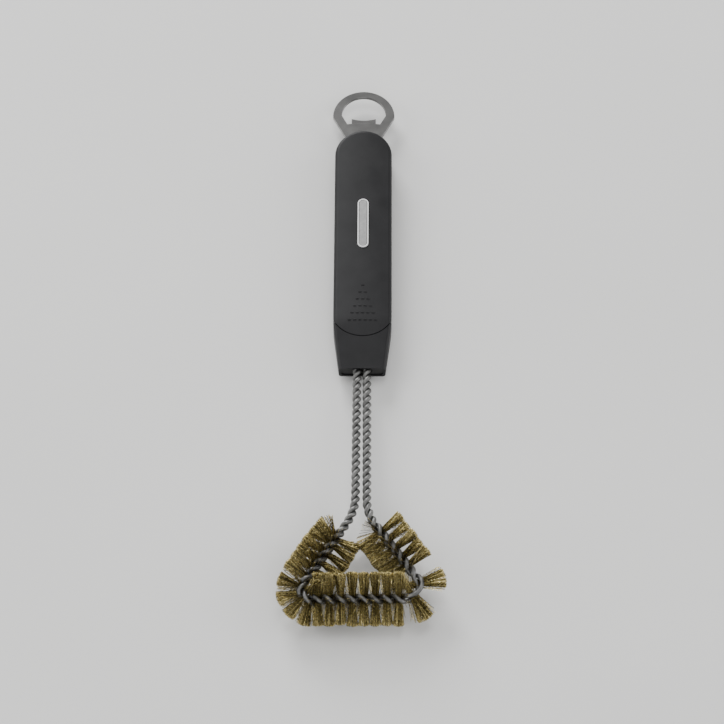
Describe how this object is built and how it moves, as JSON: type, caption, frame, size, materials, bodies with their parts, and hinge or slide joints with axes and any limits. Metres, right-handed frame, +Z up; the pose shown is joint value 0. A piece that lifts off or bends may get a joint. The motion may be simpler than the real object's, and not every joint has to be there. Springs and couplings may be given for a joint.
{
  "type": "grill cleaning brush",
  "caption": "Long-handled wire grill brush: twisted-wire stem bent to a triangular brass bristle head, black moulded handle, steel bottle opener at the end.",
  "frame": {"origin": "bottom centre of the whole brush's box, on the surface it lies on", "axes": "+Z up out of the front face, +Y along the brush from the bristle head to the bottle opener, +X to the right seen from the front"},
  "size_m": [0.1104, 0.4216, 0.0358],
  "materials": {
    "handle_plastic": "fine matte moulded black",
    "plug_rubber": "matte black",
    "screw_steel": "blackened steel",
    "anchor_plastic": "dark grey moulded",
    "sleeve_aluminium": "pressed",
    "opener_steel": "fine brushed",
    "badge_adhesive": "matte foam",
    "badge_white": "satin white",
    "badge_grey": "satin grey",
    "galvanised_wire": "dull zinc",
    "brass_filament": "drawn filament"
  },
  "bodies": {
    "root": {"handle_front_shell": "handle_plastic", "handle_rear_shell": "handle_plastic", "neck_collar": "handle_plastic", "neck_plug": "plug_rubber", "shell_screws": "screw_steel", "wire_anchor_block": "anchor_plastic", "crimp_sleeve": "sleeve_aluminium", "bottle_opener": "opener_steel", "badge_pad": "badge_adhesive", "badge_rim": "badge_white", "badge_inlay": "badge_grey", "stem_wire_a": "galvanised_wire", "stem_wire_b": "galvanised_wire", "bristles_left_side": "brass_filament", "bristles_left_corner": "brass_filament", "bristles_bottom_side": "brass_filament", "bristles_right_corner": "brass_filament", "bristles_right_side": "brass_filament"}
  },
  "joints": []
}
